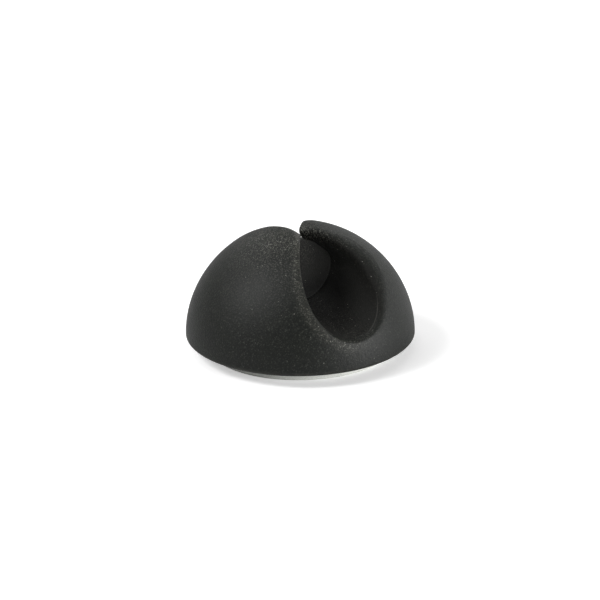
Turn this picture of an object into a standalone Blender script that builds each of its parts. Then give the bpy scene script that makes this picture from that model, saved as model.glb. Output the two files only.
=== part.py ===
"""Adhesive cable clip: a soft rubber dome with a cable channel, on a round foam pad.

The origin is the centre of the pad's underside, on the surface that the clip is stuck to.
+Z points away from that surface, the cable runs along Y, the solid hump lies towards -X
and the springy arm rises at +X and curls over the channel to a rounded nose.
"""
import math

import bmesh
import bpy
import numpy as np

MM = 0.001

# Foam pad
PAD_RADIUS = 12.1 * MM
PAD_THICKNESS = 1.0 * MM
PAD_EDGE = 0.12 * MM
PAD_SIDES = 96

# Dome that the rubber body follows outside
SEAT_GAP = 0.3 * MM
BODY_RADIUS = 15.0 * MM
BODY_HEIGHT = 15.4 * MM
WIDEST_LIFT = 0.8 * MM
BASE_RADIUS = 12.8 * MM
DOME_POWER = 1.94
LIP_POWER = 2.0

# Cable channel, a bore that widens from its throat to both mouths
CREST_WALL = 1.25 * MM
CHANNEL_SIDE = 0.15 * MM
THROAT_RADIUS = 4.6 * MM
MOUTH_DRAFT = math.radians(2.6)

# Slit that the cable is pressed in through: its sides flare apart towards both mouths
SLIT_SIDE = 0.2 * MM
SLIT_WIDTH = 0.3 * MM
HUMP_FLARE = 0.48
HUMP_FLARE_SPAN = math.radians(18)
NOSE_FLARE = 0.88
NOSE_FLARE_SPAN = math.radians(16)

# Thickening into the channel and rounded ends at the slit's two sides
HUMP_BULGE = 0.6 * MM
NOSE_BULGE = 0.75 * MM
HUMP_CAP = 3.0 * MM
NOSE_CAP = 1.9 * MM
HUMP_SHOULDER = 0.75
NOSE_SHOULDER = 0.5

# Rounding, measured along each surface from the edge
RIM_ROUNDING = 0.55 * MM
HUMP_ROUNDING = 2.0 * MM
NOSE_ROUNDING = 3.6 * MM
BASE_ROUNDING = 0.3 * MM

# Angles round the channel between which the bulges and the roundings grow
UPRIGHT = math.radians(90)
HUMP_BULGE_START = math.radians(125)
HUMP_SOFT_START = math.radians(180)
ARM_SOFT_START = math.radians(335)
ARM_SOFT_END = math.radians(385)
CURL_START = math.radians(360)
CURL_END = math.radians(410)

# Facets
SWEEP_STEPS = 84
CAP_STEPS = 6
WALL_STEPS = 9
OUTER_STEPS = 23
FINE_STEPS = 400
HALVINGS = 50
CORNER_WEIGHT = 0.5
MOST_ROUNDED = 0.46
SMOOTH_BELOW = math.radians(40)

BASE_HEIGHT = PAD_THICKNESS + SEAT_GAP
WIDEST_HEIGHT = BASE_HEIGHT + WIDEST_LIFT
TOP_HEIGHT = BASE_HEIGHT + BODY_HEIGHT
CHANNEL_HEIGHT = TOP_HEIGHT - CREST_WALL - THROAT_RADIUS
FULL_TURN = math.radians(360)


def clear_scene():
    """Removes every object, so that the file holds the clip alone."""
    for thing in list(bpy.data.objects):
        bpy.data.objects.remove(thing, do_unlink=True)


def smooth_step(value):
    """Rises smoothly from 0 to 1 as the value goes from 0 to 1."""
    value = np.clip(value, 0.0, 1.0)
    return value * value * (3.0 - 2.0 * value)


def dome_radius(height):
    """Radius of the dome at each height: a superellipse above its widest ring, a rounded lip below it."""
    upper = np.clip((height - WIDEST_HEIGHT) / (TOP_HEIGHT - WIDEST_HEIGHT), 0.0, 1.0)
    lower = np.clip((WIDEST_HEIGHT - height) / WIDEST_LIFT, 0.0, 1.0)
    above = BODY_RADIUS * (1.0 - upper ** DOME_POWER) ** (1.0 / DOME_POWER)
    lip = BODY_RADIUS - BASE_RADIUS
    below = BASE_RADIUS + lip * (1.0 - lower ** LIP_POWER) ** (1.0 / LIP_POWER)
    return np.where(height >= WIDEST_HEIGHT, above, below)


def along(angle, distance):
    """Across and height of points at a distance from the channel's axis, in the direction of an angle."""
    across = CHANNEL_SIDE + distance * np.cos(angle)
    height = CHANNEL_HEIGHT + distance * np.sin(angle)
    return across, height


def reach(angle):
    """Distance from the channel's axis to the outside of the body at mid length, found by halving."""
    near = np.zeros_like(angle)
    far = np.full_like(angle, 2.0 * BODY_RADIUS)
    for _ in range(HALVINGS):
        middle = 0.5 * (near + far)
        across, height = along(angle, middle)
        inside = (np.abs(across) < dome_radius(height)) & (height > BASE_HEIGHT) & (height < TOP_HEIGHT)
        near = np.where(inside, middle, near)
        far = np.where(inside, far, middle)
    return near


def half_length(angle, distance):
    """Half of the body's length along Y at points of one half-plane through the channel's axis."""
    across, height = along(angle, distance)
    return np.sqrt(np.maximum(dome_radius(height) ** 2 - across ** 2, 0.0))


def path_lengths(path):
    """Length along a path up to each of its points."""
    steps = np.hypot(*np.diff(path, axis=0).T)
    return np.concatenate([[0.0], np.cumsum(steps)])


def round_corner(path, lengths, corner, setback):
    """Replaces the path near a corner by a quadratic arc that starts and ends about a setback away from it.

    Where a side of the corner is short, the arc takes up at most MOST_ROUNDED of that side.
    """
    before = min(setback, MOST_ROUNDED * corner)
    after = min(setback, MOST_ROUNDED * (lengths[-1] - corner))
    ends = np.array([corner - before, corner, corner + after])
    start, tip, end = np.stack([np.interp(ends, lengths, path[:, k]) for k in range(2)], axis=1)
    near = (lengths > ends[0]) & (lengths < ends[2])
    share = np.interp(lengths[near], ends, [0.0, 0.5, 1.0])[:, None]
    path[near] = (1.0 - share) ** 2 * start + 2.0 * share * (1.0 - share) * tip + share ** 2 * end


def spread(path, count):
    """Points along a path, closer together where it turns."""
    steps = np.diff(path, axis=0)
    sizes = np.hypot(*steps.T)
    heading = np.unwrap(np.arctan2(steps[:, 1], steps[:, 0]))
    turning = np.concatenate([[0.0], np.abs(np.diff(heading))])
    weight = sizes / sizes.sum() + CORNER_WEIGHT * turning / turning.sum()
    measure = np.concatenate([[0.0], np.cumsum(weight)])
    marks = np.linspace(0.0, measure[-1], count + 1)
    return np.stack([np.interp(marks, measure, path[:, k]) for k in range(2)], axis=1)


def ramp(angle, start, end):
    """Rises smoothly from 0 at a start angle to 1 at an end angle."""
    return smooth_step((angle - start) / (end - start))


def mouth_slope(angle):
    """Growth of the wall's distance per length along Y: the draft, and each side's flare near the slit."""
    past_hump = angle - UPRIGHT
    before_nose = FULL_TURN + UPRIGHT - angle
    hump = HUMP_FLARE * math.exp(-past_hump / HUMP_FLARE_SPAN)
    nose = NOSE_FLARE * math.exp(-before_nose / NOSE_FLARE_SPAN)
    return math.tan(MOUTH_DRAFT) + hump + nose


def wall_bulge(angle):
    """Depth that the wall bulges into the channel at mid length, near the hump's end and in the curled arm."""
    return HUMP_BULGE * ramp(angle, HUMP_BULGE_START, UPRIGHT) + NOSE_BULGE * ramp(angle, CURL_START, CURL_END)


def rim_rounding(angle):
    """Rounding of the mouth's rim: small below, larger up the hump and largest along the arm."""
    hump = (HUMP_ROUNDING - RIM_ROUNDING) * ramp(angle, HUMP_SOFT_START, UPRIGHT)
    arm = (NOSE_ROUNDING - RIM_ROUNDING) * ramp(angle, ARM_SOFT_START, ARM_SOFT_END)
    return RIM_ROUNDING + hump + arm


def half_section(angle, outer):
    """Half outline of the body in one half-plane through the channel's axis, as (length, distance) pairs.

    It runs from the throat along the channel's wall to the mouth's rim, and back over the outside
    of the body to mid length.
    """
    slope = mouth_slope(angle)
    probe = np.linspace(0.0, outer, FINE_STEPS)
    excess = probe - THROAT_RADIUS - slope * half_length(angle, probe)
    last = np.flatnonzero(excess < 0.0)[-1]
    share = excess[last] / (excess[last] - excess[last + 1])
    rim = probe[last] + share * (probe[last + 1] - probe[last])
    rim_length = float(half_length(angle, rim))

    lengths = np.linspace(0.0, rim_length, FINE_STEPS)
    bulge = wall_bulge(angle) * (1.0 - (lengths / rim_length) ** 2)
    wall = THROAT_RADIUS + slope * lengths - bulge
    sweep = np.sin(np.linspace(0.0, UPRIGHT, FINE_STEPS))[1:]
    distances = rim + (outer - rim) * sweep
    outside = half_length(angle, distances)
    base = np.linspace(outside[-1], 0.0, FINE_STEPS)[1:]

    path = np.concatenate([
        np.column_stack([lengths, wall]),
        np.column_stack([outside, distances]),
        np.column_stack([base, np.full_like(base, outer)])])
    run = path_lengths(path)
    edge = run[FINE_STEPS - 1]
    base_edge = run[2 * FINE_STEPS - 2]
    if run[-1] - base_edge > BASE_ROUNDING:
        round_corner(path, run, base_edge, BASE_ROUNDING)
    round_corner(path, run, edge, rim_rounding(angle))
    wall_part = spread(path[:FINE_STEPS], WALL_STEPS)
    outer_part = spread(path[FINE_STEPS - 1:], OUTER_STEPS)
    return np.concatenate([wall_part, outer_part[1:]])


def sweep_angles(start, end):
    """Angles of the sections from the hump's end to the nose's, closer together where the outline turns."""
    fine = np.linspace(start, end, FINE_STEPS)
    outline = np.column_stack(along(fine, reach(fine)))
    steps = np.diff(outline, axis=0)
    sizes = np.hypot(*steps.T)
    heading = np.unwrap(np.arctan2(steps[:, 1], steps[:, 0]))
    turning = np.concatenate([[0.0], np.abs(np.diff(heading))])
    even = 1.0 / len(sizes)
    weight = sizes / sizes.sum() + CORNER_WEIGHT * turning / turning.sum() + even
    measure = np.concatenate([[0.0], np.cumsum(weight)])
    return np.interp(np.linspace(0.0, measure[-1], SWEEP_STEPS), measure, fine)


def cap_angles(end, size, distance, direction):
    """Angles that divide a rounded end evenly, and the share of its full size that the section has at each."""
    turn = np.linspace(0.0, UPRIGHT, CAP_STEPS + 1)[1:]
    depth = size * (1.0 - np.cos(turn))
    return end + direction * depth / distance, np.sin(turn)


def body_sections():
    """Sections of the body from the hump's end, round the channel, to the nose: points and the two poles."""
    middle = THROAT_RADIUS + 0.5 * CREST_WALL
    hump_side = (SLIT_SIDE - 0.5 * SLIT_WIDTH - CHANNEL_SIDE) / middle
    nose_side = (SLIT_SIDE + 0.5 * SLIT_WIDTH - CHANNEL_SIDE) / middle
    hump_end = math.acos(hump_side)
    nose_end = FULL_TURN + math.acos(nose_side)
    hump_cap, hump_share = cap_angles(hump_end, HUMP_CAP, middle, 1.0)
    nose_cap, nose_share = cap_angles(nose_end, NOSE_CAP, middle, -1.0)
    between = sweep_angles(hump_cap[-1], nose_cap[-1])
    angles = np.concatenate([hump_cap, between[1:-1], nose_cap[::-1]])
    shares = np.concatenate([hump_share, np.ones(len(between) - 2), nose_share[::-1]])
    outers = reach(angles)
    sections = []
    for angle, share, outer in zip(angles, shares, outers):
        half = half_section(angle, outer)
        shoulder = HUMP_SHOULDER if angle < 0.5 * (hump_end + nose_end) else NOSE_SHOULDER
        centre = outer - shoulder * (outer - half[0, 1])
        half = np.column_stack([half[:, 0] * share, centre + (half[:, 1] - centre) * share])
        loop = np.concatenate([half, half[-2:0:-1] * [-1.0, 1.0]])
        across, height = along(angle, loop[:, 1])
        sections.append(np.column_stack([across, loop[:, 0], height]))
    poles = []
    for end, shoulder in ((hump_end, HUMP_SHOULDER), (nose_end, NOSE_SHOULDER)):
        outer = float(reach(np.array([end]))[0])
        inner = half_section(end, outer)[0, 1]
        across, height = along(end, outer - shoulder * (outer - inner))
        poles.append((across, 0.0, height))
    return np.array(sections), poles


def skin(name, sections, poles):
    """Closed mesh through a run of closed sections, with a fan of faces to a pole at each end."""
    rows, columns = sections.shape[:2]
    points = np.concatenate([sections.reshape(-1, 3), np.array(poles)])
    first, last = rows * columns, rows * columns + 1
    faces = []
    for row in range(rows - 1):
        for column in range(columns):
            following = (column + 1) % columns
            faces.append((row * columns + column, row * columns + following,
                          (row + 1) * columns + following, (row + 1) * columns + column))
    for column in range(columns):
        following = (column + 1) % columns
        faces.append((first, following, column))
        faces.append((last, (rows - 1) * columns + column, (rows - 1) * columns + following))
    mesh = bpy.data.meshes.new(name)
    mesh.from_pydata(points.tolist(), [], faces)
    shell = bmesh.new()
    shell.from_mesh(mesh)
    bmesh.ops.recalc_face_normals(shell, faces=shell.faces)
    shell.to_mesh(mesh)
    shell.free()
    mesh.shade_smooth()
    mesh.set_sharp_from_angle(angle=SMOOTH_BELOW)
    return mesh


def plain_material(name, colour, roughness):
    """Principled material of one colour."""
    material = bpy.data.materials.new(name)
    material.use_nodes = True
    shader = material.node_tree.nodes["Principled BSDF"]
    shader.inputs["Base Color"].default_value = (*colour, 1.0)
    shader.inputs["Roughness"].default_value = roughness
    shader.inputs["Metallic"].default_value = 0.0
    return material


def add_object(name, mesh, material, collection):
    """Puts a mesh into the clip's collection as an object with its own material."""
    thing = bpy.data.objects.new(name, mesh)
    thing.data.materials.append(material)
    collection.objects.link(thing)
    return thing


def build_body(collection):
    """Moulded rubber body: a section swept round the cable channel from the hump to the nose."""
    sections, poles = body_sections()
    mesh = skin("clip_body", sections, poles)
    rubber = plain_material("soft_rubber", (0.028, 0.028, 0.027), 0.62)
    return add_object("clip_body", mesh, rubber, collection)


def build_pad(collection):
    """Round pad of double-sided foam tape under the body, with its edges just broken."""
    shell = bmesh.new()
    bmesh.ops.create_cone(shell, cap_ends=True, segments=PAD_SIDES, radius1=PAD_RADIUS,
                          radius2=PAD_RADIUS, depth=PAD_THICKNESS)
    bmesh.ops.translate(shell, verts=shell.verts, vec=(0.0, 0.0, 0.5 * PAD_THICKNESS))
    mesh = bpy.data.meshes.new("adhesive_pad")
    shell.to_mesh(mesh)
    shell.free()
    mesh.shade_smooth()
    mesh.set_sharp_from_angle(angle=SMOOTH_BELOW)
    foam = plain_material("grey_foam", (0.50, 0.51, 0.48), 0.85)
    pad = add_object("adhesive_pad", mesh, foam, collection)
    edge = pad.modifiers.new("broken_edge", "BEVEL")
    edge.width = PAD_EDGE
    edge.segments = 2
    edge.limit_method = "ANGLE"
    edge.angle_limit = SMOOTH_BELOW
    return pad


def build_clip():
    """Models the clip in a collection of its own."""
    clear_scene()
    collection = bpy.data.collections.new("adhesive_cable_clip")
    bpy.context.scene.collection.children.link(collection)
    build_body(collection)
    build_pad(collection)


build_clip()
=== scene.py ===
import math

import bpy
import numpy as np
from mathutils import Matrix, Vector


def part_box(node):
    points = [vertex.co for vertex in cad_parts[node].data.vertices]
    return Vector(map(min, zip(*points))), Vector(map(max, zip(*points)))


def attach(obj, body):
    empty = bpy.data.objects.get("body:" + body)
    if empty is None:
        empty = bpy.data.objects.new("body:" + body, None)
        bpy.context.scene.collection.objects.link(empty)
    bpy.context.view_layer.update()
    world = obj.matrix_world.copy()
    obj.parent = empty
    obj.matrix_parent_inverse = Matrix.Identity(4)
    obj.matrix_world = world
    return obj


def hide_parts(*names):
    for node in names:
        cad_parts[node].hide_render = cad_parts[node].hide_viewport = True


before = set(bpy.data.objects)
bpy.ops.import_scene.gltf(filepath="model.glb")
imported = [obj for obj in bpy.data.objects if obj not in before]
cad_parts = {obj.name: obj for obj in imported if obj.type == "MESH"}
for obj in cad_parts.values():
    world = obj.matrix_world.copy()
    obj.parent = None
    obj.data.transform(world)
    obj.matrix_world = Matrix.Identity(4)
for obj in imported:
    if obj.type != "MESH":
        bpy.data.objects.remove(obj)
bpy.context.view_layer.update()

MM = 0.001

# Sizes that come from the frame
BODY_LOW, BODY_HIGH = (Vector(corner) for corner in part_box("clip_body"))
PAD_LOW, PAD_HIGH = (Vector(corner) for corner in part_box("adhesive_pad"))
BODY_RADIUS = 0.5 * (BODY_HIGH.x - BODY_LOW.x)
BASE_HEIGHT = BODY_LOW.z
PAD_RADIUS = 0.5 * (PAD_HIGH.x - PAD_LOW.x)

# Shape of the dome, the channel, the slit and the pad's edge
BODY_HEIGHT = 15.4 * MM
WIDEST_LIFT = 0.8 * MM
BASE_RADIUS = 12.8 * MM
DOME_POWER = 1.94
LIP_POWER = 2.0
CREST_WALL = 1.25 * MM
CHANNEL_SIDE = 0.15 * MM
THROAT_RADIUS = 4.6 * MM
MOUTH_DRAFT = math.radians(2.6)
RIDGE_HEIGHT = 0.08 * MM
RIDGE_WIDTH = 0.25 * MM
SLIT_SIDE = 0.0
SLIT_WIDTH = 0.08 * MM
HUMP_FLARE = 0.48
HUMP_FLARE_SPAN = math.radians(18)
NOSE_FLARE = 0.88
NOSE_FLARE_SPAN = math.radians(16)
HUMP_BULGE = 0.6 * MM
NOSE_BULGE = 0.75 * MM
HUMP_CAP = 2.6 * MM
NOSE_CAP = 2.0 * MM
HUMP_SHOULDER = 0.9
NOSE_SHOULDER = 0.5
RIM_ROUNDING = 0.55 * MM
SIDE_ROUNDING = 1.4 * MM
HUMP_ROUNDING = 2.0 * MM
NOSE_ROUNDING = 3.6 * MM
BASE_ROUNDING = 0.3 * MM
MOST_ROUNDED = 0.46
PAD_EDGE = 0.12 * MM

# Angles round the channel between which the bulges and the roundings grow
UPRIGHT = math.radians(90)
FULL_TURN = math.radians(360)
HUMP_BULGE_START = math.radians(125)
HUMP_SOFT_START = math.radians(180)
SIDE_SOFT_START = math.radians(285)
SIDE_SOFT_END = math.radians(330)
ARM_SOFT_START = math.radians(345)
ARM_SOFT_END = math.radians(385)
CURL_START = math.radians(360)
CURL_END = math.radians(410)

# Fineness of the surfaces
SWEEP_STEPS = 300
CAP_STEPS = 18
WALL_STEPS = 30
OUTER_STEPS = 84
FINE_STEPS = 1200
HALVINGS = 50
CORNER_WEIGHT = 0.5
CORNER_BLUR = 9
LEAST_TURNING = 1e-9
PAD_SIDES = 256
PAD_EDGE_RINGS = 13
PAD_FACE_RINGS = (0.9, 0.6, 0.3)
PAD_SHARP_ANGLE = math.radians(40)

WIDEST_HEIGHT = BASE_HEIGHT + WIDEST_LIFT
TOP_HEIGHT = BASE_HEIGHT + BODY_HEIGHT
CHANNEL_HEIGHT = TOP_HEIGHT - CREST_WALL - THROAT_RADIUS

# Camera and image, as in the photograph
IMAGE_SIZE = 600
CAMERA_AZIMUTH = math.radians(-30)
CAMERA_ELEVATION = math.radians(21)
CAMERA_DISTANCE = 400 * MM
CAMERA_ROLL = math.radians(-0.6)
PIXELS_PER_MM = 7.66
AIM = Vector((0.0, 0.0, 6.385 * MM))
SENSOR_WIDTH = 36.0
NEAR_CLIP = 10 * MM

# Colours of the rubber and the foam, in linear light
OUTER_DARK = (0.0016, 0.0027, 0.0018)
OUTER_MID = (0.0027, 0.0041, 0.0024)
OUTER_GRAIN = (0.053, 0.057, 0.047)
# Painted shade: darker colours for the channel's wall and the arm's rounding over it, also used for the dark
# line at the base's bottom edge
PAINTED_SHADE_DARK = (0.0011, 0.0012, 0.0003)
PAINTED_SHADE_GRAIN = (0.030, 0.030, 0.0235)
# Painted highlight: a paler tone for the rounded rim on the hump (together with its wear) and for the foot,
# and a painted highlight line on the lip
HIGHLIGHT_AND_WEAR_TONE = (0.0222, 0.0228, 0.0185)
LIP_HIGHLIGHT_TONE = (0.035, 0.035, 0.030)
DUST_TONE = (0.185, 0.185, 0.160)
SPECK_TONE = (0.205, 0.205, 0.180)
FOAM_DARK = (0.67, 0.68, 0.64)
FOAM_LIGHT = (0.80, 0.81, 0.77)

# Finish of the rubber and the foam: roughness, gloss, and the heights and strengths of their bumps
DOME_ROUGHNESS = (0.46, 0.58)
WALL_ROUGHER = 0.25
RUBBER_GLOSS = 0.30
FOAM_ROUGHNESS = 0.85
COARSE_BUMP = 0.05 * MM
COARSE_BUMP_STRENGTH = 1.0
GRAIN_BUMP = 0.06 * MM
GRAIN_BUMP_STRENGTH = 0.6
FOAM_BUMP = 0.06 * MM
FOAM_BUMP_STRENGTH = 0.5

# Noise of each pattern: cells in a millimetre, detail and roughness
GRAIN_NOISE = (5.0, 4.0, 0.7)
COARSE_NOISE = (3.8, 1.0, 0.5)
MOTTLE_NOISE = (0.45, 2.0, 0.5)
PATCH_NOISE = (1.6, 2.0, 0.6)
POWDER_NOISE = (6.0, 2.0, 0.6)
FOAM_NOISE = (6.0, 3.0, 0.6)

# Range of each pattern's noise that is drawn out to the full change, and what the worn patches keep at least
GRAIN_RANGE = (0.55, 0.72)
ROUGHNESS_RANGE = (0.3, 0.7)
MOTTLE_RANGE = (0.3, 0.7)
POWDER_RANGE = (0.53, 0.66)
FOAM_RANGE = (0.35, 0.65)
PATCH_RANGE = (0.35, 0.7)
LEAST_PATCH = 0.3

# Bands of the rubber's painted shade, painted highlights and rim wear in millimetres: by the run from the
# rim, and by the height above the base
WALL_SHADE_BAND = (-1.3, -0.3)
SHADE_UNDER_ARM = 1.2
HIGHLIGHT_AND_WEAR_RUN = 0.7
HIGHLIGHT_AND_WEAR_BAND = (0.2, 1.0)
LIP_RUN = -0.5
LIP_BAND = (0.03, 0.11)
FOOT_HEIGHT = 0.6
FOOT_BAND = (0.1, 0.4)
BASE_SHADE = (0.10, 0.30)
RESTING_HEIGHTS = (3.0, 12.0)
SPECK_HEIGHTS = (2.0, 12.0)

# Angles round the channel between which the rim's painted highlight and wear ends, and the lip's painted
# highlight line starts and ends
HIGHLIGHT_AND_WEAR_END = (math.radians(255), math.radians(290))
LIP_START = (math.radians(285), math.radians(300))
LIP_END = (math.radians(330), math.radians(350))

# Dust: where it has settled, how far it spreads there, and how much powder and how many specks it has
CREST_DUST_PLACE = (-2.2 * MM, 0.0, TOP_HEIGHT - 1.5 * MM)
CREST_DUST_SPREAD = 4.6 * MM
SILL_DUST = 0.20
SILL_DUST_SPREAD = 2.5 * MM
FAR_DUST = 0.30
FAR_DUST_PLACE = (4.8 * MM, 7.6 * MM, 11.0 * MM)
FAR_DUST_SPREAD = 2.8 * MM
POWDER_OF_DUST = 1.3
POWDER_OF_RIM_BAND = 0.5
POWDER_BY_HEIGHT = (0.02, 0.16)
POWDER_ON_WALL = 0.1
SPECKS_OF_DUST = 0.40
SPECKS_OF_RIM_BAND = 0.20
SPECKS_BY_HEIGHT = (0.004, 0.022)
SPECK_CELLS = 4.4
SPECK_SIZES = (0.12, 0.32)
SPECK_EDGE = 0.08

# Light: each soft box's place in metres, its size, and the level that it alone gives a surface facing it
SKY_STRENGTH = 0.15
SKY_IN_GLOSS = 0.16
SOFT_BOXES = (
    ("top_box", (0.0, 0.1, 0.9), 0.7, 0.16),
    ("high_left_box", (-0.593, 0.159, 0.658), 0.35, 0.62),
    ("right_box", (0.68, -0.57, 0.156), 0.35, 0.12),
    ("front_right_box", (0.501, -0.743, 0.078), 0.3, 1.02),
    ("front_left_box", (-0.856, -0.229, 0.156), 0.4, 0.05),
    ("back_box", (0.0, 0.763, 0.477), 0.5, 0.12),
    ("back_right_box", (0.684, 0.497, 0.308), 0.4, 0.10),
    ("low_right_box", (0.888, 0.078, 0.125), 0.4, 0.12))

# Floor: its size in metres, its tone and roughness, and the glow that only the camera sees
FLOOR_SIZE = 6.0
FLOOR_TONE = 0.93
FLOOR_ROUGHNESS = 0.9
FLOOR_GLOW = 0.45


def smooth_step(value):
    """Rises smoothly from 0 to 1 as the value goes from 0 to 1."""
    value = np.clip(value, 0.0, 1.0)
    return value * value * (3.0 - 2.0 * value)


def bell(distances, width):
    """Falls from 1 at no distance as e to the power of minus the square of distance over width."""
    return np.exp(-(distances / width) ** 2)


def dome_radius(height):
    """Radius of the dome by height: a superellipse above its widest ring, a rounded lip below it."""
    upper = np.clip((height - WIDEST_HEIGHT) / (TOP_HEIGHT - WIDEST_HEIGHT), 0.0, 1.0)
    lower = np.clip((WIDEST_HEIGHT - height) / WIDEST_LIFT, 0.0, 1.0)
    above = BODY_RADIUS * (1.0 - upper ** DOME_POWER) ** (1.0 / DOME_POWER)
    lip = BODY_RADIUS - BASE_RADIUS
    below = BASE_RADIUS + lip * (1.0 - lower ** LIP_POWER) ** (1.0 / LIP_POWER)
    return np.where(height >= WIDEST_HEIGHT, above, below)


def along(angle, distance):
    """Across and height of points at a distance from the channel's axis, in the direction of an angle."""
    across = CHANNEL_SIDE + distance * np.cos(angle)
    height = CHANNEL_HEIGHT + distance * np.sin(angle)
    return across, height


def reach(angle):
    """Distance from the channel's axis to the outside of the body at mid length, found by halving."""
    near = np.zeros_like(angle)
    far = np.full_like(angle, 2.0 * BODY_RADIUS)
    for _ in range(HALVINGS):
        middle = 0.5 * (near + far)
        across, height = along(angle, middle)
        inside = (np.abs(across) < dome_radius(height)) & (height > BASE_HEIGHT) & (height < TOP_HEIGHT)
        near = np.where(inside, middle, near)
        far = np.where(inside, far, middle)
    return near


def half_length(angle, distance):
    """Half of the body's length along Y at points of one half-plane through the channel's axis."""
    across, height = along(angle, distance)
    return np.sqrt(np.maximum(dome_radius(height) ** 2 - across ** 2, 0.0))


def path_lengths(path):
    """Length along a path up to each of its points."""
    steps = np.hypot(*np.diff(path, axis=0).T)
    return np.concatenate([[0.0], np.cumsum(steps)])


def round_corner(path, lengths, corner, setback):
    """Replaces the path near a corner by a quadratic arc that starts and ends about a setback away from it.

    Where a side of the corner is short, the arc takes up at most MOST_ROUNDED of that side.
    """
    before = min(setback, MOST_ROUNDED * corner)
    after = min(setback, MOST_ROUNDED * (lengths[-1] - corner))
    ends = np.array([corner - before, corner, corner + after])
    start, tip, end = np.stack([np.interp(ends, lengths, path[:, k]) for k in range(2)], axis=1)
    near = (lengths > ends[0]) & (lengths < ends[2])
    share = np.interp(lengths[near], ends, [0.0, 0.5, 1.0])[:, None]
    path[near] = (1.0 - share) ** 2 * start + 2.0 * share * (1.0 - share) * tip + share ** 2 * end


def turning_measure(path):
    """Running sum of length and of turning along a path, the turning weighted by CORNER_WEIGHT."""
    steps = np.diff(path, axis=0)
    sizes = np.hypot(*steps.T)
    heading = np.unwrap(np.arctan2(steps[:, 1], steps[:, 0]))
    turning = np.concatenate([[0.0], np.abs(np.diff(heading))])
    turning = np.convolve(turning, np.full(CORNER_BLUR, 1.0 / CORNER_BLUR), mode="same")
    turned = turning / max(turning.sum(), LEAST_TURNING)
    weight = sizes / sizes.sum() + CORNER_WEIGHT * turned
    return np.concatenate([[0.0], np.cumsum(weight)])


def spread(path, count):
    """Points along a path, closer together where it turns."""
    measure = turning_measure(path)
    marks = np.linspace(0.0, measure[-1], count + 1)
    return np.stack([np.interp(marks, measure, path[:, k]) for k in range(2)], axis=1)


def ramp(angle, start, end):
    """Rises smoothly from 0 at a start angle to 1 at an end angle."""
    return smooth_step((angle - start) / (end - start))


def mouth_slope(angle):
    """Growth of the wall's distance per length: the draft's tangent and an exponential from each end."""
    past_hump = angle - UPRIGHT
    before_nose = FULL_TURN + UPRIGHT - angle
    hump = HUMP_FLARE * math.exp(-past_hump / HUMP_FLARE_SPAN)
    nose = NOSE_FLARE * math.exp(-before_nose / NOSE_FLARE_SPAN)
    return math.tan(MOUTH_DRAFT) + hump + nose


def wall_bulge(angle):
    """Depth that the wall bulges into the channel at mid length, under the hump's end and the curled arm."""
    hump = HUMP_BULGE * ramp(angle, HUMP_BULGE_START, UPRIGHT)
    nose = NOSE_BULGE * ramp(angle, CURL_START, CURL_END)
    return hump + nose


def rim_rounding(angle):
    """Rounding of the mouth's rim: small below, larger up the hump and largest along the arm."""
    hump = (HUMP_ROUNDING - RIM_ROUNDING) * ramp(angle, HUMP_SOFT_START, UPRIGHT)
    side = (SIDE_ROUNDING - RIM_ROUNDING) * ramp(angle, SIDE_SOFT_START, SIDE_SOFT_END)
    arm = (NOSE_ROUNDING - SIDE_ROUNDING) * ramp(angle, ARM_SOFT_START, ARM_SOFT_END)
    return RIM_ROUNDING + hump + side + arm


def half_section(angle, outer):
    """Half outline of the body in one half-plane through the channel's axis, as (length, distance) pairs.

    From the throat the wall's distance grows in proportion to its length up to the mouth's rim,
    where the dome's surface begins, and that surface leads back to mid length. A parabola is
    taken off the wall's distance where the wall bulges, and a bell curve for the mould's parting
    ridge round the throat. The rim and the base's edge are rounded by quadratic arcs.
    """
    slope = mouth_slope(angle)
    probe = np.linspace(0.0, outer, FINE_STEPS)
    excess = probe - THROAT_RADIUS - slope * half_length(angle, probe)
    last = np.flatnonzero(excess < 0.0)[-1]
    share = excess[last] / (excess[last] - excess[last + 1])
    rim = probe[last] + share * (probe[last + 1] - probe[last])
    rim_length = float(half_length(angle, rim))

    lengths = np.linspace(0.0, rim_length, FINE_STEPS)
    bulge = wall_bulge(angle) * (1.0 - (lengths / rim_length) ** 2)
    ridge = RIDGE_HEIGHT * bell(lengths, RIDGE_WIDTH)
    wall = THROAT_RADIUS + slope * lengths - bulge - ridge
    shares = np.sin(np.linspace(0.0, UPRIGHT, FINE_STEPS))[1:]
    distances = rim + (outer - rim) * shares
    outside = half_length(angle, distances)
    base = np.linspace(outside[-1], 0.0, FINE_STEPS)[1:]

    path = np.concatenate([
        np.column_stack([lengths, wall]),
        np.column_stack([outside, distances]),
        np.column_stack([base, np.full_like(base, outer)])])
    run = path_lengths(path)
    edge = run[FINE_STEPS - 1]
    base_edge = run[2 * FINE_STEPS - 2]
    if run[-1] - base_edge > BASE_ROUNDING:
        round_corner(path, run, base_edge, BASE_ROUNDING)
    round_corner(path, run, edge, rim_rounding(angle))
    wall_part = spread(path[:FINE_STEPS], WALL_STEPS)
    outer_part = spread(path[FINE_STEPS - 1:], OUTER_STEPS)
    return np.concatenate([wall_part, outer_part[1:]])


def sweep_angles(start, end):
    """Angles of the sections from the hump's end to the nose's, closer together where the outline turns."""
    fine = np.linspace(start, end, FINE_STEPS)
    outline = np.column_stack(along(fine, reach(fine)))
    measure = turning_measure(outline) + np.arange(FINE_STEPS) / FINE_STEPS
    return np.interp(np.linspace(0.0, measure[-1], SWEEP_STEPS), measure, fine)


def cap_angles(end, size, distance, direction):
    """Angles that divide a rounded end evenly, and the share of full size that the section has at each."""
    turn = np.linspace(0.0, UPRIGHT, CAP_STEPS + 1)[1:]
    depth = size * (1.0 - np.cos(turn))
    return end + direction * depth / distance, np.sin(turn)


def pole(end, shoulder):
    """Point where a rounded end closes, at the shoulder's share of the wall's thickness from the outside."""
    outer = float(reach(np.array([end]))[0])
    inner = half_section(end, outer)[0, 1]
    across, height = along(end, outer - shoulder * (outer - inner))
    return across, 0.0, height


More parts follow.
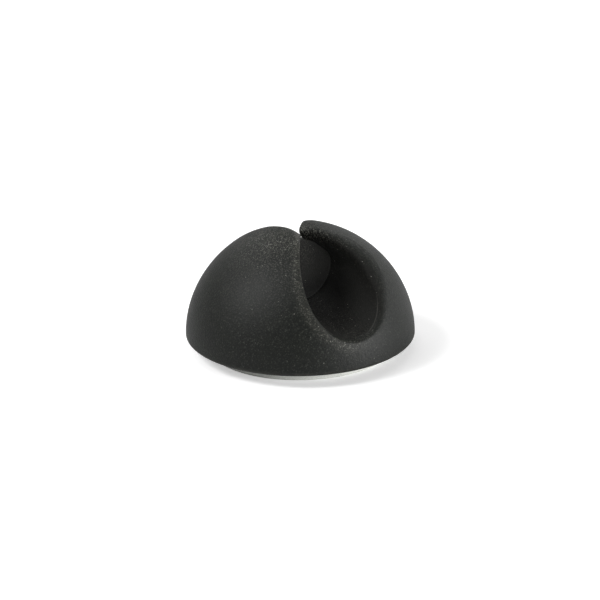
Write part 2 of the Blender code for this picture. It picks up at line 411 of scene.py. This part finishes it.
def body_surface():
    """Closed surface swept round the channel's axis: points by sweep angle and place on the section.

    A point is the axis, plus its distance from it in the direction of the sweep angle, plus its
    length along Y. At both ends the section shrinks to a pole as the sine of an angle does. Each
    point's run from the rim is the signed length of the section's path between the two, below zero
    on the channel's wall.
    """
    middle = THROAT_RADIUS + 0.5 * CREST_WALL
    hump_end = math.acos((SLIT_SIDE - 0.5 * SLIT_WIDTH - CHANNEL_SIDE) / middle)
    nose_end = FULL_TURN + math.acos((SLIT_SIDE + 0.5 * SLIT_WIDTH - CHANNEL_SIDE) / middle)
    hump_cap, hump_share = cap_angles(hump_end, HUMP_CAP, middle, 1.0)
    nose_cap, nose_share = cap_angles(nose_end, NOSE_CAP, middle, -1.0)
    between = sweep_angles(hump_cap[-1], nose_cap[-1])
    angles = np.concatenate([hump_cap, between[1:-1], nose_cap[::-1]])
    shares = np.concatenate([hump_share, np.ones(len(between) - 2), nose_share[::-1]])
    outers = reach(angles)
    sections = []
    runs = []
    for angle, share, outer in zip(angles, shares, outers):
        half = half_section(angle, outer)
        shoulder = HUMP_SHOULDER if angle < 0.5 * (hump_end + nose_end) else NOSE_SHOULDER
        centre = outer - shoulder * (outer - half[0, 1])
        half = np.column_stack([half[:, 0] * share, centre + (half[:, 1] - centre) * share])
        run = path_lengths(half)
        run = run - run[WALL_STEPS - 1]
        runs.append(np.concatenate([run, run[-2:0:-1]]))
        loop = np.concatenate([half, half[-2:0:-1] * [-1.0, 1.0]])
        across, height = along(angle, loop[:, 1])
        sections.append(np.column_stack([across, loop[:, 0], height]))
    poles = np.array([pole(hump_end, HUMP_SHOULDER), pole(nose_end, NOSE_SHOULDER)])
    sweep = np.repeat(angles[:, None], len(runs[0]), axis=1)
    return np.array(sections), poles, np.array(runs), sweep


def closed_mesh(name, sections, poles):
    """Mesh of a run of closed sections: quads between neighbours and a fan of triangles to each pole."""
    rows, columns = sections.shape[:2]
    points = np.concatenate([sections.reshape(-1, 3), poles])
    grid = np.arange(rows * columns).reshape(rows, columns)
    ahead = np.roll(grid, -1, axis=1)
    quads = np.stack([grid[:-1], grid[1:], ahead[1:], ahead[:-1]], axis=-1).reshape(-1, 4)
    first, last = rows * columns, rows * columns + 1
    near = np.stack([np.full(columns, first), grid[0], ahead[0]], axis=-1)
    far = np.stack([np.full(columns, last), ahead[-1], grid[-1]], axis=-1)
    mesh = bpy.data.meshes.new(name)
    mesh.from_pydata(points.tolist(), [], quads.tolist() + near.tolist() + far.tolist())
    mesh.shade_smooth()
    return mesh


def signed_volume(mesh):
    """Volume inside a closed mesh, negative when its faces point inwards."""
    mesh.calc_loop_triangles()
    corners = np.empty(len(mesh.loop_triangles) * 3, dtype=np.int32)
    mesh.loop_triangles.foreach_get("vertices", corners)
    points = np.empty(len(mesh.vertices) * 3, dtype=np.float32)
    mesh.vertices.foreach_get("co", points)
    a, b, c = points.reshape(-1, 3)[corners.reshape(-1, 3)].astype(float).transpose(1, 0, 2)
    return float(np.einsum("ij,ij->i", a, np.cross(b, c)).sum() / 6.0)


def add_piece(name, mesh, material, node):
    """Adds a finished piece that stands for a CAD node and rides on the part's one body."""
    if signed_volume(mesh) < 0.0:
        mesh.flip_normals()
    piece = bpy.data.objects.new(name, mesh)
    bpy.context.scene.collection.objects.link(piece)
    mesh.materials.append(material)
    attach(piece, "root")
    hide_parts(node)


class Nodes:
    """Short calls for building one material's nodes."""

    def __init__(self, name):
        self.material = bpy.data.materials.new(name)
        self.material.use_nodes = True
        self.tree = self.material.node_tree
        self.shader = self.tree.nodes["Principled BSDF"]

    def add(self, kind, **values):
        """New node of a kind, with its settings."""
        node = self.tree.nodes.new(kind)
        for key, value in values.items():
            setattr(node, key, value)
        return node

    def link(self, source, target):
        self.tree.links.new(source, target)

    def place(self):
        """Object coordinates in millimetres."""
        coordinates = self.add("ShaderNodeTexCoord")
        mapping = self.add("ShaderNodeMapping")
        mapping.inputs["Scale"].default_value = (1.0 / MM, 1.0 / MM, 1.0 / MM)
        self.link(coordinates.outputs["Object"], mapping.inputs["Vector"])
        return mapping.outputs["Vector"]

    def layer(self, name):
        """Numbers that the mesh keeps for each of its points."""
        return self.add("ShaderNodeAttribute", attribute_name=name).outputs["Fac"]

    def noise(self, vector, scale, detail, rough):
        """Cloudy pattern from 0 to 1, with so many cells in a unit of the vector."""
        node = self.add("ShaderNodeTexNoise")
        node.inputs["Scale"].default_value = scale
        node.inputs["Detail"].default_value = detail
        node.inputs["Roughness"].default_value = rough
        self.link(vector, node.inputs["Vector"])
        return node.outputs["Fac"]

    def between(self, value, low, high, to_low, to_high):
        """Goes evenly from to_low to to_high as the value goes from low to high, and stays there beyond."""
        node = self.add("ShaderNodeMapRange", clamp=True)
        node.inputs["From Min"].default_value = low
        node.inputs["From Max"].default_value = high
        node.inputs["To Min"].default_value = to_low
        node.inputs["To Max"].default_value = to_high
        self.link(value, node.inputs["Value"])
        return node.outputs["Result"]

    def math(self, operation, first, second=0.0):
        """Result of an operation on one or two values, each a plain number or another node's output."""
        node = self.add("ShaderNodeMath", operation=operation)
        for socket, value in zip(node.inputs, (first, second)):
            if isinstance(value, (int, float)):
                socket.default_value = value
            else:
                self.link(value, socket)
        return node.outputs[0]

    def distance(self, value, centre):
        """How far a value lies from a centre, either way."""
        return self.math("ABSOLUTE", self.math("SUBTRACT", value, centre))

    def mix(self, share, first, second):
        """Colour between two colours, by a share from 0 to 1. The node's colours are inputs 6 and 7."""
        node = self.add("ShaderNodeMix", data_type="RGBA")
        self.link(share, node.inputs[0])
        for socket, value in zip((node.inputs[6], node.inputs[7]), (first, second)):
            if isinstance(value, tuple):
                socket.default_value = (*value, 1.0)
            else:
                self.link(value, socket)
        return node.outputs[2]

    def bump(self, height, distance, strength, under=None):
        """Surface tilted by a height pattern, on top of another bump where one is given."""
        node = self.add("ShaderNodeBump")
        node.inputs["Distance"].default_value = distance
        node.inputs["Strength"].default_value = strength
        self.link(height, node.inputs["Height"])
        if under is not None:
            self.link(under, node.inputs["Normal"])
        return node.outputs["Normal"]


def rubber_material():
    """Black soft-touch rubber: a fine matte grain, faint mottling, pale dust on the rims and the crest, and
    painted highlights and shade.

    The wall of the channel is rougher than the dome, and it is coloured darker as painted shade,
    which under the arm reaches up onto the arm's rounding. Three layers of the mesh are read: the
    run from the rim in millimetres, below zero on the wall, the sweep angle round the channel in
    radians, and the dust from 0 to 1.
    """
    make = Nodes("soft_rubber")
    place = make.place()
    run = make.layer("rim_run")
    sweep = make.layer("sweep")
    dust = make.layer("dust")
    height = make.add("ShaderNodeSeparateXYZ")
    make.link(place, height.inputs[0])
    above = make.math("SUBTRACT", height.outputs["Z"], BASE_HEIGHT / MM)

    # Painted shade: the channel's wall is coloured darker, and under the arm the darker band reaches up onto
    # the arm's rounding
    shade_under_arm = make.between(sweep, SIDE_SOFT_START, SIDE_SOFT_END, 0.0, SHADE_UNDER_ARM)
    wall = make.between(make.math("SUBTRACT", run, shade_under_arm), *WALL_SHADE_BAND, 1.0, 0.0)
    grain = make.noise(place, *GRAIN_NOISE)
    grained = make.between(grain, *GRAIN_RANGE, 0.0, 1.0)
    mottle = make.between(make.noise(place, *MOTTLE_NOISE), *MOTTLE_RANGE, 0.0, 1.0)
    outer = make.mix(grained, make.mix(mottle, OUTER_DARK, OUTER_MID), OUTER_GRAIN)
    toned = make.mix(wall, outer, make.mix(grained, PAINTED_SHADE_DARK, PAINTED_SHADE_GRAIN))

    patchy = make.between(make.noise(place, *PATCH_NOISE), *PATCH_RANGE, LEAST_PATCH, 1.0)
    # Painted highlight and wear: a paler, patchy band along the rounded rim on the hump, where light catches
    # the rounding; the same band gathers powder and specks below
    near_rim = make.between(make.distance(run, HIGHLIGHT_AND_WEAR_RUN), *HIGHLIGHT_AND_WEAR_BAND, 1.0, 0.0)
    on_hump = make.between(sweep, *HIGHLIGHT_AND_WEAR_END, 1.0, 0.0)
    highlight_and_wear = make.math("MULTIPLY", make.math("MULTIPLY", near_rim, on_hump), patchy)
    toned = make.mix(highlight_and_wear, toned, HIGHLIGHT_AND_WEAR_TONE)
    # Painted highlight: a paler, patchy band round the body's foot just above the base, where the lower
    # curve catches the light
    foot_highlight = make.between(make.distance(above, FOOT_HEIGHT), *FOOT_BAND, 1.0, 0.0)
    toned = make.mix(make.math("MULTIPLY", foot_highlight, patchy), toned, HIGHLIGHT_AND_WEAR_TONE)
    # Painted shade: a dark line along the bottom edge, which faces down
    toned = make.mix(make.between(above, *BASE_SHADE, 1.0, 0.0), toned, PAINTED_SHADE_DARK)
    # Painted highlight: a pale line along the mouth's rounded lip, between the channel's floor and the arm
    lip = make.between(make.distance(run, LIP_RUN), *LIP_BAND, 1.0, 0.0)
    beside = make.math("MULTIPLY", make.between(sweep, *LIP_START, 0.0, 1.0),
                       make.between(sweep, *LIP_END, 1.0, 0.0))
    toned = make.mix(make.math("MULTIPLY", lip, beside), toned, LIP_HIGHLIGHT_TONE)

    powder = make.between(make.noise(place, *POWDER_NOISE), *POWDER_RANGE, 0.0, 1.0)
    settled = make.math("ADD", make.math("MULTIPLY", dust, POWDER_OF_DUST),
                        make.math("MULTIPLY", highlight_and_wear, POWDER_OF_RIM_BAND))
    resting = make.math("MULTIPLY", make.between(above, *RESTING_HEIGHTS, *POWDER_BY_HEIGHT),
                        make.between(wall, 0.0, 1.0, 1.0, POWDER_ON_WALL))
    settled = make.math("MINIMUM", make.math("ADD", settled, resting), 1.0)
    toned = make.mix(make.math("MULTIPLY", powder, settled), toned, DUST_TONE)

    cells = make.add("ShaderNodeTexVoronoi")
    cells.inputs["Scale"].default_value = SPECK_CELLS
    make.link(place, cells.inputs["Vector"])
    chance = make.add("ShaderNodeSeparateColor")
    make.link(cells.outputs["Color"], chance.inputs[0])
    crowd = make.math("ADD", make.math("MULTIPLY", dust, SPECKS_OF_DUST),
                      make.math("MULTIPLY", highlight_and_wear, SPECKS_OF_RIM_BAND))
    crowd = make.math("ADD", crowd, make.between(above, *SPECK_HEIGHTS, *SPECKS_BY_HEIGHT))
    held = make.math("GREATER_THAN", crowd, chance.outputs[0])
    size = make.between(chance.outputs[1], 0.0, 1.0, *SPECK_SIZES)
    inside = make.math("SUBTRACT", size, cells.outputs["Distance"])
    speck = make.math("MULTIPLY", make.between(inside, 0.0, SPECK_EDGE, 0.0, 1.0), held)
    make.link(make.mix(speck, toned, SPECK_TONE), make.shader.inputs["Base Color"])

    rough = make.between(grain, *ROUGHNESS_RANGE, *DOME_ROUGHNESS)
    rough = make.math("ADD", rough, make.math("MULTIPLY", wall, WALL_ROUGHER))
    make.link(rough, make.shader.inputs["Roughness"])
    make.shader.inputs["Specular IOR Level"].default_value = RUBBER_GLOSS
    fine = make.bump(grain, GRAIN_BUMP, GRAIN_BUMP_STRENGTH)
    normal = make.bump(make.noise(place, *COARSE_NOISE), COARSE_BUMP, COARSE_BUMP_STRENGTH, fine)
    make.link(normal, make.shader.inputs["Normal"])
    return make.material


def foam_material():
    """Light grey foam tape with fine cells."""
    make = Nodes("grey_foam")
    cells = make.noise(make.place(), *FOAM_NOISE)
    tone = make.mix(make.between(cells, *FOAM_RANGE, 0.0, 1.0), FOAM_DARK, FOAM_LIGHT)
    make.link(tone, make.shader.inputs["Base Color"])
    make.shader.inputs["Roughness"].default_value = FOAM_ROUGHNESS
    make.link(make.bump(cells, FOAM_BUMP, FOAM_BUMP_STRENGTH), make.shader.inputs["Normal"])
    return make.material


def add_layer(mesh, name, values):
    """Keeps one number for each point of the mesh, for its material to read."""
    layer = mesh.attributes.new(name, "FLOAT", "POINT")
    layer.data.foreach_set("value", np.asarray(values, dtype=np.float32))


def dust_on(points):
    """Dust at points of the body: the largest of bells round the crest, the sill and the far wall."""
    crest = bell(np.linalg.norm(points - CREST_DUST_PLACE, axis=1), CREST_DUST_SPREAD)
    floor_line = points[:, [0, 2]] - [0.0, CHANNEL_HEIGHT - THROAT_RADIUS]
    sill = SILL_DUST * bell(np.linalg.norm(floor_line, axis=1), SILL_DUST_SPREAD)
    far = FAR_DUST * bell(np.linalg.norm(points - FAR_DUST_PLACE, axis=1), FAR_DUST_SPREAD)
    return np.maximum(np.maximum(crest, sill), far)


def build_body():
    """The moulded rubber body, with the dust, the run from the rim and the sweep angle of each point."""
    sections, poles, runs, sweep = body_surface()
    mesh = closed_mesh("rubber_body", sections, poles)
    points = np.concatenate([sections.reshape(-1, 3), poles])
    add_layer(mesh, "dust", dust_on(points))
    add_layer(mesh, "rim_run", np.concatenate([runs.reshape(-1) / MM, [0.0, 0.0]]))
    add_layer(mesh, "sweep", np.concatenate([sweep.reshape(-1), sweep[[0, -1], 0]]))
    add_piece("rubber_body", mesh, rubber_material(), "clip_body")


def build_pad():
    """The foam disc, of circles round the upright axis that rise by a smooth step along its edge.

    The edge is drawn in by PAD_EDGE times one less the root of a half wave's sine, so that it
    stands upright at half height and is rounded towards the two faces. Smaller circles and a
    pole close each face.
    """
    turn = np.linspace(0.0, FULL_TURN, PAD_SIDES, endpoint=False)
    share = np.linspace(0.0, 1.0, PAD_EDGE_RINGS)
    height = PAD_LOW.z + (PAD_HIGH.z - PAD_LOW.z) * smooth_step(share)
    radius = PAD_RADIUS - PAD_EDGE * (1.0 - np.sin(share * math.pi) ** 0.5)
    circle = np.column_stack([np.cos(turn), np.sin(turn), np.zeros(PAD_SIDES)])
    rings = circle * radius[:, None, None] + height[:, None, None] * [0.0, 0.0, 1.0]
    inner = np.column_stack([PAD_FACE_RINGS, PAD_FACE_RINGS, np.ones(len(PAD_FACE_RINGS))])[:, None, :]
    sections = np.concatenate([rings[0] * inner[::-1], rings, rings[-1] * inner])
    poles = np.array([[0.0, 0.0, PAD_LOW.z], [0.0, 0.0, PAD_HIGH.z]])
    mesh = closed_mesh("foam_pad", sections, poles)
    mesh.set_sharp_from_angle(angle=PAD_SHARP_ANGLE)
    add_piece("foam_pad", mesh, foam_material(), "adhesive_pad")


def build_floor():
    """Plain pale floor that keeps the clip's shadow, and that the camera alone sees a little lighter."""
    bpy.ops.mesh.primitive_plane_add(size=FLOOR_SIZE, location=(0.0, 0.0, 0.0))
    floor = bpy.context.object
    floor.name = "floor"
    make = Nodes("pale_floor")
    make.shader.inputs["Base Color"].default_value = (FLOOR_TONE, FLOOR_TONE, FLOOR_TONE, 1.0)
    make.shader.inputs["Roughness"].default_value = FLOOR_ROUGHNESS
    make.shader.inputs["Specular IOR Level"].default_value = 0.0
    make.shader.inputs["Emission Color"].default_value = (1.0, 1.0, 1.0, 1.0)
    path = make.add("ShaderNodeLightPath")
    glow = make.between(path.outputs["Is Camera Ray"], 0.0, 1.0, 0.0, FLOOR_GLOW)
    make.link(glow, make.shader.inputs["Emission Strength"])
    floor.data.materials.append(make.material)


def area_light(name, place, size, level):
    """Square soft box that points at the clip, with the power that gives its level at that distance."""
    data = bpy.data.lights.new(name, "AREA")
    data.shape = "SQUARE"
    data.size = size
    data.energy = level * (math.pi * (AIM - Vector(place)).length) ** 2
    light = bpy.data.objects.new(name, data)
    light.location = place
    light.rotation_euler = (AIM - Vector(place)).to_track_quat("-Z", "Y").to_euler()
    bpy.context.scene.collection.objects.link(light)


def build_light():
    """Large soft boxes under a white sky, which lights the clip less than the camera sees of it."""
    world = bpy.data.worlds.new("studio")
    world.use_nodes = True
    bpy.context.scene.world = world
    tree = world.node_tree
    background = tree.nodes["Background"]
    background.inputs["Color"].default_value = (1.0, 1.0, 1.0, 1.0)
    path = tree.nodes.new("ShaderNodeLightPath")
    glossy = tree.nodes.new("ShaderNodeMapRange")
    glossy.inputs["To Min"].default_value = SKY_STRENGTH
    glossy.inputs["To Max"].default_value = SKY_IN_GLOSS
    tree.links.new(path.outputs["Is Glossy Ray"], glossy.inputs["Value"])
    strength = tree.nodes.new("ShaderNodeMapRange")
    strength.inputs["To Max"].default_value = 1.0
    tree.links.new(path.outputs["Is Camera Ray"], strength.inputs["Value"])
    tree.links.new(glossy.outputs["Result"], strength.inputs["To Min"])
    tree.links.new(strength.outputs["Result"], background.inputs["Strength"])
    for name, place, size, level in SOFT_BOXES:
        area_light(name, place, size, level)


def build_camera():
    """Camera at the photograph's angle, with the photograph's scale at the aim point."""
    data = bpy.data.cameras.new("camera")
    data.sensor_width = SENSOR_WIDTH
    data.lens = SENSOR_WIDTH * PIXELS_PER_MM * CAMERA_DISTANCE / MM / IMAGE_SIZE
    data.clip_start = NEAR_CLIP
    camera = bpy.data.objects.new("camera", data)
    level = math.cos(CAMERA_ELEVATION)
    towards = Vector((-math.sin(CAMERA_AZIMUTH) * level, math.cos(CAMERA_AZIMUTH) * level,
                      -math.sin(CAMERA_ELEVATION)))
    turn = towards.to_track_quat("-Z", "Y").to_matrix() @ Matrix.Rotation(CAMERA_ROLL, 3, "Z")
    camera.location = AIM - towards * CAMERA_DISTANCE
    camera.rotation_euler = turn.to_euler()
    bpy.context.scene.collection.objects.link(camera)
    bpy.context.scene.camera = camera


bpy.context.scene.view_settings.view_transform = "Standard"
build_camera()
build_light()
build_floor()
build_body()
build_pad()
